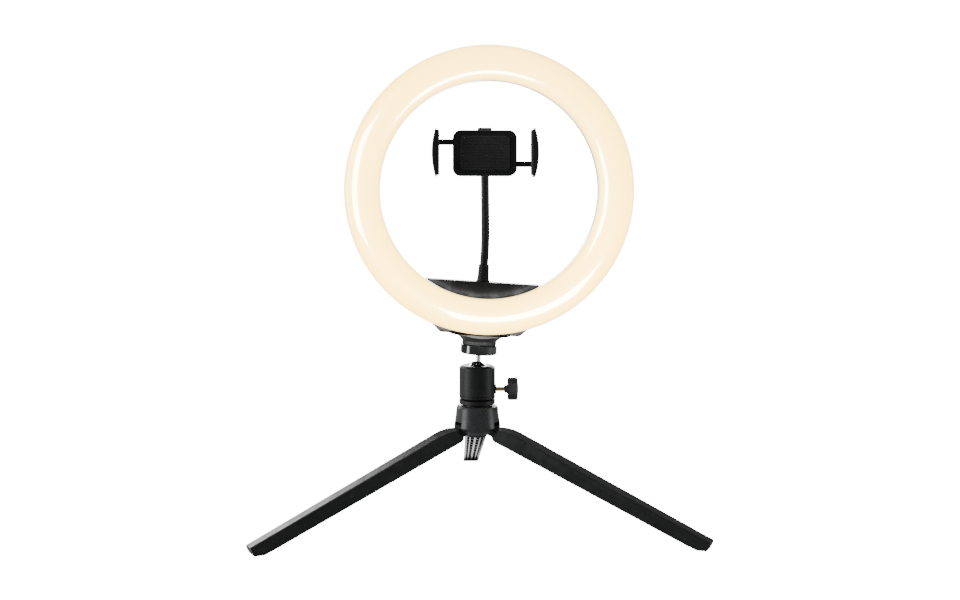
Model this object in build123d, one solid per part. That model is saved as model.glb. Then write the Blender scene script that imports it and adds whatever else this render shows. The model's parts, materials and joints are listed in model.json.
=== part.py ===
"""Ring light on a mini tripod, with a ball head, a flexible neck and a phone holder.

Millimetres, +Z up, the lit face of the ring looks along -Y. Every sub-part is modelled about the
tripod's own axis (x = y = 0) and save() moves it by AXIS_Y, so that the origin is the middle of the
footprint, at floor level.
"""
import os
from math import cos, pi, radians, sin, tan

from build123d import *

# ---------------------------------------------------------------- driving dimensions
RING_OD = 260.0                 # ring, over the diffuser
RING_ID = 196.0
RING_DEPTH = 20.0               # front of the dome to the back of the housing
RING_Z = 295.0                  # height of the ring's centre
RING_BACK_Y = -3.0              # back face of the ring, where it meets the bracket
LED_ROWS = (109.0, 119.0)       # radii of the two rows of LEDs
LEDS_PER_ROW = 60

BALL_Z = 129.0                  # centre of the tripod's ball
BALL_R = 10.5
HEAD_R = 16.3                   # ball head housing
LOCK_Z = 113.8                  # height of the lock screw
STEM_R = 2.3
HEAD_LEAN = 3.7                 # degrees; the head is stored leaning this much to +X on its ball

PIVOT_R = 13.0                  # leg hinge, distance from the tripod axis
PIVOT_Z = 79.5
LEG_SLOPE = 21.5                # degrees below the horizontal, legs open
LEG_LENGTH = 215.6              # hinge to tip, along the leg
LEG_AZIMUTHS = {"back": 90.0, "left": 210.0, "right": 330.0}

NECK_Y = 5.0                    # gooseneck root, behind the tripod axis
BRACKET_TOP = 211.4
HOLDER_BALL = (-7.4, -24.0, 326.0)      # centre of the holder's ball, before the head leans
GOOSE_R = 3.8                   # flexible neck

GRIP_HALF = 39.7                # half the opening between the grips, as stored
PINION_R = 6.0                  # pitch radius, module 1, 12 teeth
PINION_TEETH = 12
STUD_R = 3.175                  # 1/4 inch camera thread
STUD_PITCH = 1.27

FIT = 0.05                      # radial clearance of a running fit
GAP = 0.4                       # clearance between parts that pass each other

TIP_REACH = PIVOT_R + LEG_LENGTH * cos(radians(LEG_SLOPE)) + 7.1 * sin(radians(LEG_SLOPE))
FRONT_REACH = TIP_REACH * sin(radians(30)) + 8.0
AXIS_Y = -(TIP_REACH - FRONT_REACH) / 2


# ---------------------------------------------------------------- helpers
def rod(radius, start, end, axis="Z", at=(0, 0)):
    """Round bar along an axis; at gives its other two coordinates, in x, y, z order."""
    bar = Pos(0, 0, start) * Cylinder(radius, end - start, align=(Align.CENTER, Align.CENTER, Align.MIN))
    first, second = at
    if axis == "X":
        return Pos(0, first, second) * Rot(0, 90, 0) * bar
    if axis == "Y":
        return Pos(first, 0, second) * Rot(-90, 0, 0) * bar
    return Pos(first, second, 0) * bar


def tube(outer, inner, start, end, axis="Z", at=(0, 0)):
    return rod(outer, start, end, axis, at) - rod(inner, start, end, axis, at)


def block(x, y, z):
    """Box from pairs of limits."""
    size = [high - low for low, high in (x, y, z)]
    return Pos(*[(low + high) / 2 for low, high in (x, y, z)]) * Box(*size)


def lathe_z(points, x=0, y=0):
    """Solid of revolution about a vertical axis, from an outline of (radius, z) points."""
    face = make_face(Plane.XZ * Polyline(*points, close=True))
    return Pos(x, y, 0) * revolve(face, axis=Axis.Z)


def lathe_y(points, x=0, z=0):
    """Solid of revolution about an axis along Y, from an outline of (radius, y) points."""
    face = make_face(Plane.XY * Polyline(*points, close=True))
    return Pos(x, 0, z) * revolve(face, axis=Axis.Y)


def plate(points, y_low, y_high, radius=0.0):
    """Flat plate in the XZ plane, between two values of y, with rounded corners."""
    face = make_face(Plane.XZ * Polyline(*points, close=True))
    if radius:
        face = fillet(face.vertices(), radius)
    return Pos(0, y_high, 0) * extrude(face, y_high - y_low)


def rectangle_points(half_width, half_height, z=0.0):
    return [(-half_width, z - half_height), (half_width, z - half_height),
            (half_width, z + half_height), (-half_width, z + half_height)]


def round_outer(shape, radius, pick):
    """Fillet the edges of a solid that pick() chooses."""
    return fillet([edge for edge in shape.edges() if pick(edge)], radius)


def joined(*shapes):
    """One solid from shapes that share volume."""
    whole = shapes[0]
    for shape in shapes[1:]:
        whole = whole + shape
    return whole


def group(shapes):
    """Separate solids that share one node."""
    return Compound(children=[solid for shape in shapes for solid in shape.solids()])


def pan_screw(shaft_r, head_r, head_h, length, axis_sign, at, y_face):
    """Small pan-head screw along Y: its head sits on y_face and its shaft runs along axis_sign."""
    x, z = at
    head = rod(head_r, min(y_face, y_face - axis_sign * head_h), max(y_face, y_face - axis_sign * head_h),
               "Y", (x, z))
    shaft = rod(shaft_r, min(y_face, y_face + axis_sign * length), max(y_face, y_face + axis_sign * length),
                "Y", (x, z))
    slot_y = y_face - axis_sign * head_h
    slots = [Pos(x, slot_y, z) * Box(head_r * 1.3, head_h, head_r * 0.3),
             Pos(x, slot_y, z) * Box(head_r * 0.3, head_h, head_r * 1.3)]
    return (head + shaft) - slots


def threaded(radius, start, end, pitch, depth=0.35):
    """Upright bar with a groove for each turn of its thread."""
    bar = rod(radius, start, end)
    turns = int((end - start) / pitch) - 1
    for turn in range(turns):
        z = start + (turn + 1) * pitch
        bar = bar - lathe_z([(radius + 0.1, z - pitch * 0.3), (radius + 0.1, z + pitch * 0.3),
                             (radius - depth, z)])
    return bar


def save(name, shape):
    export_step(Pos(0, AXIS_Y, 0) * shape, f"parts/{name}.step")


def leaning():
    """Where the head sits: turned about the ball's centre."""
    return Pos(0, 0, BALL_Z) * Rot(0, HEAD_LEAN, 0) * Pos(0, 0, -BALL_Z)


def save_head(name, shape):
    save(name, leaning() * shape)


# ---------------------------------------------------------------- tripod legs
LEG_START = 9.5                 # where the channel begins, from the hinge
LEG_NOSE = 8.0                  # where the channel's tapered end begins
LEG_BOTTOM = (-5.2, -3.6)       # underside at the root and at the tip, from the hinge's centre line
LEG_TOP = (8.2, 7.1)            # top face at the root and at the tip
LEG_TOP_HALF = (7.0, 5.6)       # half widths, root and tip
LEG_FOOT_HALF = (10.6, 7.9)
LEG_RIBS = (5.2, 3.7)           # outer ribs, from the leg's middle, root and tip
TONGUE_HALF = 4.6
EYE_R = 5.4
PIN_R = 1.5
PIN_LENGTH = 15.0
PAD_THICK = 2.2                 # rubber under the foot
LEG_WALL = 1.9


def along_leg(pair, u):
    """A size that changes evenly from the leg's root to its tip."""
    share = (u - LEG_START) / (LEG_LENGTH - LEG_START)
    return pair[0] + (pair[1] - pair[0]) * share


def leg_section(u, inset=0.0, lift=0.0, sink=0.0):
    """Cross-section of a leg at u from the hinge: a trapezoid, wider underneath."""
    top, low = along_leg(LEG_TOP, u) - lift, along_leg(LEG_BOTTOM, u) - sink
    top_half, foot_half = along_leg(LEG_TOP_HALF, u) - inset, along_leg(LEG_FOOT_HALF, u) - inset
    points = [(u, -foot_half, low), (u, foot_half, low), (u, top_half, top), (u, -top_half, top)]
    return Face(Wire.make_polygon([Vector(*point) for point in points], close=True))


def floor_cut(height):
    """Everything lower than a height above the floor, in the leg's own frame."""
    slab = Pos(LEG_LENGTH / 2, 0, height - 40) * Box(LEG_LENGTH * 3, 80, 80)
    return Rot(0, -LEG_SLOPE, 0) * Pos(-PIVOT_R, 0, -PIVOT_Z) * slab


def shoulder_cut():
    """Takes the sharp top off a leg's root, so that it slopes up from the hub."""
    line = [(LEG_NOSE - 2, 3.6), (LEG_START + 1, 4.6), (LEG_START + 6, 6.2), (LEG_START + 12, 7.4),
            (LEG_START + 22, 8.2), (LEG_START + 22, 14), (LEG_NOSE - 2, 14)]
    return Pos(0, 15, 0) * extrude(make_face(Plane.XZ * Polyline(*line, close=True)), 30)


def leg_rib(place, thick, start, end, height):
    """Upright web along the leg; place is its distance from the middle, at the root and at the tip."""
    low, high = height
    left_start, left_end = along_leg(place, start), along_leg(place, end)
    outline = [(start, left_start - thick / 2), (end, left_end - thick / 2), (end, left_end + thick / 2),
               (start, left_start + thick / 2)]
    return Pos(0, 0, low) * extrude(make_face(Polyline(*outline, close=True)), high - low)


def leg_shape():
    """A ribbed channel, open underneath, with a tongue and an eye at the hinge."""
    full = LEG_START + 2
    outer = loft([leg_section(full), leg_section(LEG_LENGTH)])
    outer = round_outer(outer, 1.6, lambda edge: edge.center().Z > 6 and edge.length > 100)
    nose = loft([leg_section(LEG_NOSE, 2.0, 3.9, -1.2), leg_section(full, 0.05, 0.05, -0.05)])
    outer = (outer + nose) - shoulder_cut()
    cavity_start, cavity_end = LEG_START + 7, LEG_LENGTH - 4.0
    cavity = loft([leg_section(cavity_start, LEG_WALL, 2.2, 1), leg_section(cavity_end, LEG_WALL, 2.2, 1)])
    shell = outer - (cavity - Pos(0, 0, -2.2) * shoulder_cut())
    rib_start, rib_end, rib_z = LEG_START + 5, cavity_end + 1, (-6.0, LEG_TOP[0] - 1.5)
    ribs = [leg_rib((0, 0), 1.8, rib_start, rib_end, rib_z)]
    for side in (-1, 1):
        ribs.append(leg_rib((side * LEG_RIBS[0], side * LEG_RIBS[1]), 1.1, rib_start, rib_end, rib_z))
    rib_pitch = 16.0
    u = cavity_start + rib_pitch
    while u < cavity_end - 6:
        low = along_leg(LEG_BOTTOM, u) + 1.2
        ribs.append(block((u - 0.6, u + 0.6), (-9, 9), (low, LEG_TOP[0] - 1.5)))
        u += rib_pitch
    ribbed = shell + [rib & outer for rib in ribs]
    tongue = block((0, LEG_START + 8), (-TONGUE_HALF, TONGUE_HALF), (-EYE_R + 0.6, EYE_R))
    eye = Rot(90, 0, 0) * Cylinder(EYE_R, TONGUE_HALF * 2)
    leg = ribbed + (tongue - shoulder_cut()) + eye
    leg = leg - Rot(90, 0, 0) * Cylinder(PIN_R + FIT, TONGUE_HALF * 2 + 2)
    return leg - floor_cut(PAD_THICK)


def foot_pad_shape():
    """Rubber shoe that fills the cut under the foot and stands on the floor."""
    outer = loft([leg_section(LEG_START), leg_section(LEG_LENGTH)])
    pad = (outer & floor_cut(PAD_THICK)) - floor_cut(0)
    return pad


def place_leg(shape, azimuth):
    return Rot(0, 0, azimuth) * Pos(PIVOT_R, 0, PIVOT_Z) * Rot(0, LEG_SLOPE, 0) * shape


def build_legs():
    leg, pad = leg_shape(), foot_pad_shape()
    pin = Rot(90, 0, 0) * Cylinder(PIN_R, PIN_LENGTH)
    for name, azimuth in LEG_AZIMUTHS.items():
        save(f"leg_{name}", place_leg(leg, azimuth))
        save(f"foot_pad_{name}", place_leg(pad, azimuth))
    save("leg_hinge_pins", group([place_leg(pin, azimuth) for azimuth in LEG_AZIMUTHS.values()]))


# ---------------------------------------------------------------- tripod hub
HUB_TOP = 99.7
HUB_BOTTOM = 72.0
SLOT_INNER = 7.6


def build_hub():
    hub = lathe_z([(0, HUB_BOTTOM), (11.6, HUB_BOTTOM), (12.6, 72.5), (13.4, 74.0), (15.4, 75.6), (18.8, 77.0),
                   (20.4, 78.6), (21.0, 80.8), (20.6, 84.0), (19.8, 89.0), (18.9, 97.6), (18.2, 98.9),
                   (16.8, HUB_TOP), (0, HUB_TOP)])
    slot_half = TONGUE_HALF + GAP
    slot = block((SLOT_INNER, 30), (-slot_half, slot_half), (HUB_BOTTOM - 5, PIVOT_Z + EYE_R + 0.8))
    pin_hole = Pos(PIVOT_R, 0, PIVOT_Z) * Rot(90, 0, 0) * Cylinder(PIN_R, PIN_LENGTH)
    for azimuth in LEG_AZIMUTHS.values():
        hub = hub - Rot(0, 0, azimuth) * slot - Rot(0, 0, azimuth) * pin_hole
    hub = hub - rod(STUD_R, HUB_BOTTOM - 1, HUB_TOP + 1) - rod(4.9, HUB_BOTTOM - 1, 80.0)
    save("tripod_hub", hub)
    bolt = threaded(STUD_R, 90.0, 109.0, STUD_PITCH) + rod(STUD_R, 80.0, 90.0)
    socket = Pos(0, 0, 74.5) * extrude(RegularPolygon(2.3, 6), 3.0)
    save("hub_bolt", bolt + (rod(4.8, 75.0, 80.0) - socket))


# ---------------------------------------------------------------- ball head
SEAT_LOW, SEAT_HIGH = 116.4, 125.5
CAVITY_R = 11.2
COLLAR_LOW = 130.2
HEAD_TOP = 135.7
NOTCH_HALF = 4.1
SHOE_TOP_SLOPE = 10.0           # degrees, the ramp between shoe and seat


def ball(radius):
    return Pos(0, 0, BALL_Z) * Sphere(radius)


def tilt_notch():
    """Slot that lets the stem swing down towards +Y."""
    cut = block((-NOTCH_HALF, NOTCH_HALF), (0, 20), (BALL_Z, HEAD_TOP + 2))
    return cut + rod(NOTCH_HALF, 0, 20, "Y", (0, BALL_Z))


def build_ball_head():
    base = lathe_z([(0, HUB_TOP), (13.2, HUB_TOP), (13.2, 101.0), (15.3, 101.0), (HEAD_R, 101.5),
                    (HEAD_R, 104.7), (15.3, 105.2), (6.0, 105.2), (6.0, 110.0), (0, 110.0)])
    save("pan_base", base - rod(STUD_R, HUB_TOP - 1, 109.0))
    disc = tube(9.4, 6.0, 109.9, 111.4) + rod(6.0, 110.0, 111.4)
    save("pan_retainer", disc)

    body = lathe_z([(6.0 + FIT, 105.6), (14.9, 105.6), (HEAD_R, 106.4), (HEAD_R, COLLAR_LOW),
                    (CAVITY_R, COLLAR_LOW), (CAVITY_R, 109.5), (6.0 + FIT, 109.5)])
    groove = tube(HEAD_R + 1, HEAD_R - 0.5, 108.4, 109.2)
    boss = rod(4.2, 13.5, 17.2, "X", (0, LOCK_Z))
    body = (body - groove) + (boss - rod(CAVITY_R + 1, 105, 131))
    body = body - rod(2.0 + FIT, 5, 20, "X", (0, LOCK_Z)) - tilt_notch()
    save("ball_housing", body)

    collar = lathe_z([(CAVITY_R, COLLAR_LOW), (HEAD_R, COLLAR_LOW), (HEAD_R, 134.0), (13.9, HEAD_TOP),
                      (8.9, HEAD_TOP), (8.9, 134.0), (CAVITY_R, 131.5)])
    save("housing_collar", collar - ball(BALL_R + FIT) - tilt_notch())

    seat = rod(CAVITY_R - 0.3, SEAT_LOW, SEAT_HIGH) - ball(BALL_R + FIT)
    ramp = Pos(0, 0, SEAT_LOW - 1.4) * Rot(0, SHOE_TOP_SLOPE, 0) * block((-20, 20), (-5, 5), (-6, 1.2))
    save("ball_seat", seat - ramp)
    shoe = block((-6, 8), (-4, 4), (111.9, 118)) & rod(CAVITY_R - 1.6, 105, 120)
    lid = Pos(0, 0, SEAT_LOW - 1.4) * Rot(0, SHOE_TOP_SLOPE, 0) * block((-20, 20), (-8, 8), (0.6, 12))
    save("brake_shoe", shoe - lid - rod(1.5 + FIT, 2.0, 12, "X", (0, LOCK_Z)))

    stem = ball(BALL_R) + rod(STEM_R, BALL_Z, 149.0)
    save_head("ball_stem", stem)


def build_lock_knob():
    """T-shaped knob on a brass screw that pushes the brake shoe."""
    thread = rod(2.0, 9.4, 26.0, "X", (0, LOCK_Z)) + rod(1.5, 2.4, 9.4, "X", (0, LOCK_Z))
    for turn in range(22):
        x = 9.9 + turn * 0.7
        groove = Pos(x, 0, LOCK_Z) * Rot(0, 90, 0) * lathe_z([(2.1, -0.2), (2.1, 0.2), (1.75, 0)])
        thread = thread - groove
    save("lock_screw", thread + rod(1.5, 26.0, 33.0, "X", (0, LOCK_Z)))

    hub = Pos(0, 0, LOCK_Z) * Rot(0, 90, 0) * lathe_z([(0, 24.6), (3.1, 24.6), (3.4, 26.0), (5.2, 28.6),
                                                       (5.2, 36.4), (4.6, 37.2), (0, 37.2)])
    outline = [(27.2, 0), (28.0, 5.2), (28.2, 10.2), (37.0, 10.2), (37.4, 4.6), (37.4, -4.6), (37.0, -10.2),
               (28.2, -10.2), (28.0, -5.2)]
    wing_face = make_face(Plane.XZ * Polyline(*outline, close=True))
    wing = Pos(0, 3.1, LOCK_Z) * extrude(wing_face, 6.2)
    wing = fillet([edge for edge in wing.edges() if abs(abs(edge.center().Z - LOCK_Z) - 10.2) < 0.1], 1.2)
    knob = (hub + wing) - rod(1.5, 20, 33.0, "X", (0, LOCK_Z)) - rod(2.0, 20, 26.0, "X", (0, LOCK_Z))
    save("lock_knob", Pos(0, 0, LOCK_Z) * Rot(-8, 0, 0) * Pos(0, 0, -LOCK_Z) * knob)


def build_platform():
    disc = lathe_z([(0, 145.7), (3.8, 145.7), (4.2, 146.3), (15.4, 146.3), (16.4, 147.1), (16.4, 153.9),
                    (15.7, 154.6), (0, 154.6)])
    disc = disc - rod(STEM_R + FIT, 142, 149.0) - rod(STUD_R, 149.0, 156)
    save_head("platform", disc)
    save_head("platform_pad", tube(15.0, STUD_R, 154.6, 155.3))
    save_head("camera_stud", threaded(STUD_R, 149.0, 161.0, STUD_PITCH))


# ---------------------------------------------------------------- ring
def ring_face(points):
    return Pos(0, 0, RING_Z) * revolve(make_face(Plane.XY * Polyline(*points, close=True)), axis=Axis.Y)


RING_R, HOLE_R = RING_OD / 2, RING_ID / 2
BAND_MID, BAND_HALF = (RING_R + HOLE_R) / 2, (RING_R - HOLE_R) / 2
DOME_FOOT_Y = RING_BACK_Y - 12.0            # where the dome springs from the skirt
DOME_RISE = RING_DEPTH - 12.0
SKIRT_END_Y = RING_BACK_Y - 9.2
BOARD_FACE_Y = RING_BACK_Y - 5.1


def dome_face(half_width, rise, foot_y, end_y):
    """Half of the band's section: a flattened dome on a straight skirt."""
    arc = EllipticalCenterArc((BAND_MID, foot_y), half_width, rise, start_angle=180, arc_size=180)
    left, right = BAND_MID - half_width, BAND_MID + half_width
    skirt = Polyline((right, foot_y), (right, end_y), (left, end_y), (left, foot_y))
    return make_face(Curve() + [arc, skirt])


def build_ring():
    wall = 1.7
    section = dome_face(BAND_HALF, DOME_RISE, DOME_FOOT_Y, SKIRT_END_Y)
    hollow = dome_face(BAND_HALF - wall, DOME_RISE - wall, DOME_FOOT_Y, SKIRT_END_Y + 1)
    save_head("diffuser", Pos(0, 0, RING_Z) * revolve(section - hollow, axis=Axis.Y))

    back, floor, lip = RING_BACK_Y, RING_BACK_Y - 2.0, SKIRT_END_Y - 1.8
    inner_lip, outer_lip = HOLE_R + wall, RING_R - wall
    housing = ring_face([
        (HOLE_R + 2, back), (RING_R - 2, back), (RING_R - 0.4, back - 1.6), (RING_R - 0.4, SKIRT_END_Y),
        (outer_lip, SKIRT_END_Y), (outer_lip, lip), (outer_lip - 1.5, lip), (outer_lip - 1.5, floor),
        (inner_lip + 1.5, floor), (inner_lip + 1.5, lip), (inner_lip, lip), (inner_lip, SKIRT_END_Y),
        (HOLE_R + 0.4, SKIRT_END_Y), (HOLE_R + 0.4, back - 1.6)])
    for radius in (104.5, BAND_MID, 123.5):
        rib_low = BOARD_FACE_Y + 1.6
        housing = housing + ring_face([(radius - 0.7, floor + 0.1), (radius + 0.7, floor + 0.1),
                                       (radius + 0.7, rib_low), (radius - 0.7, rib_low)])
    step = RING_BACK_Y + 0.1
    for radius in (106.0, 122.0):
        housing = housing - ring_face([(radius - 0.5, step), (radius + 0.5, step), (radius + 0.5, back - 0.6),
                                       (radius - 0.5, back - 0.6)])
    screw_spots = [(BAND_MID * cos(radians(30 + 60 * n)), RING_Z + BAND_MID * sin(radians(30 + 60 * n)))
                   for n in range(6)]
    mount_spots = [(-24, 181), (24, 181), (-41, 190), (41, 190)]
    boss_end = BOARD_FACE_Y + 1.6
    for spot in screw_spots + mount_spots:
        housing = housing + rod(2.8, boss_end, floor + 0.5, "Y", spot)
    for spot in screw_spots:
        housing = housing - rod(1.2, boss_end - 1, floor + 1.0, "Y", spot)
    for spot in mount_spots:
        housing = housing - rod(1.2, boss_end - 1, back + 1, "Y", spot)
    housing = housing - rod(2.6, -20, 5, "Y", (0, 184))
    save_head("ring_housing", housing)

    board = ring_face([(102.0, BOARD_FACE_Y), (126.0, BOARD_FACE_Y), (126.0, boss_end), (102.0, boss_end)])
    for spot in screw_spots:
        board = board - rod(1.2, -30, 0, "Y", spot)
    save_head("led_board", board - rod(1.6, -30, 0, "Y", (0, 184)))
    board_screws = [pan_screw(1.2, 2.3, 1.2, 3.2, 1, spot, BOARD_FACE_Y) for spot in screw_spots]
    save_head("board_screws", group(board_screws))

    chips = []
    for row, radius in enumerate(LED_ROWS):
        for number in range(LEDS_PER_ROW):
            angle = (number + 0.5 * row + 0.25) * 360 / LEDS_PER_ROW
            chip = Pos(radius, BOARD_FACE_Y - 0.4, 0) * Box(2.8, 0.8, 3.5)
            chips.append(Pos(0, 0, RING_Z) * Rot(0, angle, 0) * chip)
    save_head("led_chips", group(chips))
    return mount_spots


# ---------------------------------------------------------------- bracket
BRACKET_FRONT, BRACKET_BACK = RING_BACK_Y, 13.0
BRACKET_WALL = 2.2
SHANK_R = 4.0                   # threaded root of the neck
COVER_SPOTS = [(-36, 203), (36, 203), (-30, 171), (30, 171)]
GLAND_AT = (0, 176)


def bracket_points(inset=0.0):
    right = [(36 - inset, 164 + inset), (43.6 - inset * 1.1, 171 + inset * 0.4),
             (56 - inset, BRACKET_TOP - inset)]
    return [(-x, z) for x, z in reversed(right)] + right


def build_bracket(mount_spots):
    shell = plate(bracket_points(), BRACKET_FRONT, BRACKET_BACK, 4.0)
    rear_edges = [edge for edge in shell.edges() if abs(edge.center().Y - BRACKET_BACK) < 0.01]
    shell = fillet(rear_edges, 1.6)
    inside = plate(bracket_points(BRACKET_WALL), BRACKET_FRONT + 2.2, BRACKET_BACK + 1, 2.5)
    flare_face = make_face(Plane.XZ * (Curve() + [
        Polyline((15.5, 158.0), (15.5, 155.3), (0, 155.3), (0, 169.0), (28.0, 169.0), (28.0, 164.0)),
        TangentArc((28.0, 164.0), (15.5, 158.0), tangent=(-1, 0))]))
    flare = revolve(flare_face, axis=Axis.Z)
    flare = flare & (block((-40, 40), (-20, BRACKET_BACK), (150, 164.2))
                     + block((-40, 40), (BRACKET_FRONT, 10.8), (164, 169)))
    shell = (shell - inside) + flare
    front_wall = BRACKET_FRONT + 2.2
    for spot in COVER_SPOTS:
        shell = shell + rod(3.0, front_wall - 0.5, 11.0, "Y", spot)
    for spot in COVER_SPOTS:
        shell = shell - rod(1.2, 4.0, 12.0, "Y", spot)
    for spot in mount_spots:
        shell = shell - rod(1.2, BRACKET_FRONT - 1, front_wall + 1, "Y", spot)
    shell = shell - rod(5.0, 150, 164.5) - rod(1.6, -10, 1, "Y", (0, 184)) - rod(2.6, -10, 1, "Y", (0, 184))
    shell = shell - rod(SHANK_R, BRACKET_TOP - 5, BRACKET_TOP + 1, "Z", (0, NECK_Y))
    save_head("bracket", shell)

    save_head("bracket_insert", tube(5.0, STUD_R, 155.3, 164.5))
    cover = plate(bracket_points(BRACKET_WALL + 0.15), 11.0, 12.6, 2.4)
    for spot in COVER_SPOTS:
        cover = cover - rod(1.5, 10, 14, "Y", spot) - rod(2.7, 11.8, 14, "Y", spot)
    for row in range(5):
        cover = cover - block((-14, 14), (10, 14), (188.0 + row * 3.6, 189.4 + row * 3.6))
    cover = cover - rod(4.0, 10, 14, "Y", GLAND_AT)
    save_head("rear_cover", cover)
    cover_screws = [pan_screw(1.2, 2.5, 1.0, 7.0, -1, spot, 11.8) for spot in COVER_SPOTS]
    save_head("cover_screws", group(cover_screws))
    ring_screws = [pan_screw(1.2, 2.5, 1.3, 5.2, -1, spot, front_wall) for spot in mount_spots]
    save_head("ring_screws", group(ring_screws))

    gland_x, gland_z = GLAND_AT
    gland = lathe_y([(2.2, 9.0), (5.4, 9.0), (5.4, 11.0), (4.0, 11.0), (4.0, 12.6), (5.6, 12.6), (5.2, 14.2),
                     (3.6, 19.6), (2.2, 19.6)], gland_x, gland_z)
    for ring in range(3):
        gland = gland - tube(7, 4.0 - ring * 0.3, 14.6 + ring * 1.6, 15.4 + ring * 1.6, "Y", GLAND_AT)
    save_head("cable_gland", gland)
    wires = []
    for side in (-1.2, 1.2):
        route = [(side, 8.9, gland_z), (side, 4.0, gland_z), (side, 4.0, 184), (side, -6.5, 184)]
        path = FilletPolyline(*route, radius=2.2)
        wires.append(sweep(Plane(path @ 0, z_dir=path % 0) * Circle(0.6), path=path))
    save_head("led_leads", group(wires))


# ---------------------------------------------------------------- gooseneck
LEAN = 8.0                      # degrees, of the long middle run
LOWER_BEND_Z = 250.0            # corner of the lower bend
UPPER_CORNER_Z = 318.0
SLEEVE_TOP = 227.0


def goose_corners():
    """Corners of the neck's route, before the head leans: root, lower bend, upper bend, ball."""
    rise = UPPER_CORNER_Z - LOWER_BEND_Z
    upper = Vector(HOLDER_BALL[0] * 0.75, NECK_Y - rise * tan(radians(LEAN)), UPPER_CORNER_Z)
    return Vector(0, NECK_Y, SLEEVE_TOP), Vector(0, NECK_Y, LOWER_BEND_Z), upper, Vector(*HOLDER_BALL)


def goose_tube(corners, bend):
    """Round tube along two straight runs with an arc at the corner."""
    path = FilletPolyline(*corners, radius=bend)
    return sweep(Plane(path @ 0, z_dir=path % 0) * Circle(GOOSE_R), path=path)


def build_gooseneck():
    root, lower, upper, tip = goose_corners()
    middle = (lower + upper) * 0.5
    along = (tip - upper).normalized()
    ferrule_start = tip - along * 9.6
    save_head("gooseneck_lower", goose_tube([root, lower, middle], 140.0))
    save_head("gooseneck_upper", goose_tube([middle, upper, ferrule_start], 18.0))

    foot = BRACKET_TOP
    sleeve = lathe_z([(GOOSE_R, foot), (6.2, foot), (6.0, foot + 1.0), (5.5, foot + 2.2), (5.3, foot + 5.0),
                      (4.9, SLEEVE_TOP - 0.6), (4.5, SLEEVE_TOP), (GOOSE_R, SLEEVE_TOP)], 0, NECK_Y)
    save_head("gooseneck_sleeve", sleeve)
    root_low, nut_tall = foot - 9.4, 4.2
    shank = rod(SHANK_R, root_low, foot, "Z", (0, NECK_Y))
    save_head("gooseneck_root", shank + rod(GOOSE_R, root_low, SLEEVE_TOP, "Z", (0, NECK_Y)))
    nut = Pos(0, NECK_Y, foot - BRACKET_WALL - nut_tall) * extrude(RegularPolygon(6.4, 6), nut_tall)
    save_head("gooseneck_nut", nut - shank)

    frame = Plane(tip, z_dir=along)
    ferrule = frame * lathe_z([(0, -9.6), (4.3, -9.6), (4.3, -7.6), (2.2, -6.6), (0, -6.6)])
    save_head("gooseneck_ferrule", ferrule)
    save_head("holder_ball", frame * (Sphere(6.0) + rod(1.9, -6.6, -3.0)))


# ---------------------------------------------------------------- phone holder
HOLDER_X, HOLDER_Y, HOLDER_Z = tuple((leaning() * Pos(*HOLDER_BALL)).position)
BODY_HALF, BODY_TALL = 28.0, 20.0
REAR_Y, SPLIT_Y, FRONT_Y, FACE_Y = -28.5, -36.0, -40.5, -41.7
ARM_Y = (-38.6, -34.9)
RATCHET_Y = (-34.5, -32.4)
ARM_Z = (5.2, 12.0)             # of the upper arm, above the pinion's centre
RACK_TIP = PINION_R - 0.8
TOOTH_ROOT, TOOTH_TIP = 1.05, 0.75          # depth below and height above the pitch line
CLAMP_SPOTS = [(x, HOLDER_Z + z) for x in (-22, 22) for z in (-15.4, 15.4)]


def gear_face(teeth, pitch_r, backlash):
    """Outline of a small spur gear: straight-flanked teeth at 25 degrees, good enough for hand loads."""
    root, tip = pitch_r - TOOTH_ROOT, pitch_r + TOOTH_TIP
    half_pitch = (pi * pitch_r / teeth - backlash) / 2
    points = []
    for tooth in range(teeth):
        middle = 2 * pi * tooth / teeth
        for radius, side in ((root, -1), (tip, -1), (tip, 1), (root, 1)):
            half = half_pitch - (radius - pitch_r) * tan(radians(25))
            angle = middle + side * half / pitch_r
            points.append((radius * cos(angle), radius * sin(angle)))
    return points


def save_holder(name, shape):
    """The clamp stands upright, level with the leaning neck's ball."""
    save(name, Pos(HOLDER_X, 0, 0) * shape)


def holder_plate(points, y_low, y_high, radius=0.0):
    return Pos(0, 0, HOLDER_Z) * plate(points, y_low, y_high, radius)


def upper_arm():
    """Rack bar with its grip at -X; the other arm is the same piece turned half round."""
    pitch = pi * 2 * PINION_R / PINION_TEETH
    bar = block((-GRIP_HALF - 3.5, 8.6), ARM_Y, (ARM_Z[0] + 2.0, ARM_Z[1]))
    teeth = []
    first = -int((GRIP_HALF - 12.0) / pitch)
    for number in range(first, 3):
        x = (number + 0.5) * pitch
        if x > 7.4:
            continue
        root_half = pitch / 4 + TOOTH_ROOT * tan(radians(25)) - 0.1
        tip_half = pitch / 4 - TOOTH_TIP * tan(radians(25)) - 0.1
        low, high = RACK_TIP + 0.05, ARM_Z[0] + 2.1
        points = [(x - tip_half, low), (x + tip_half, low), (x + root_half, high), (x - root_half, high)]
        teeth.append(plate(points, *ARM_Y))
    grip_face = make_face(Plane.XZ * (Curve() + [
        Polyline((-GRIP_HALF - 3.4, -21.0), (-GRIP_HALF - 2.2, -21.0), (-GRIP_HALF - 2.2, 21.0),
                 (-GRIP_HALF - 3.4, 21.0)),
        ThreePointArc((-GRIP_HALF - 3.4, 21.0), (-GRIP_HALF - 6.6, 0.0), (-GRIP_HALF - 3.4, -21.0))]))
    grip = Pos(0, -33.0, 0) * extrude(grip_face, 19.5)
    outer_edges = [edge for edge in grip.edges() if edge.center().X < -GRIP_HALF - 3.0 and edge.length > 30]
    grip = fillet(outer_edges, 1.2)
    return Pos(0, 0, HOLDER_Z) * joined(bar, grip, *teeth)


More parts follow.
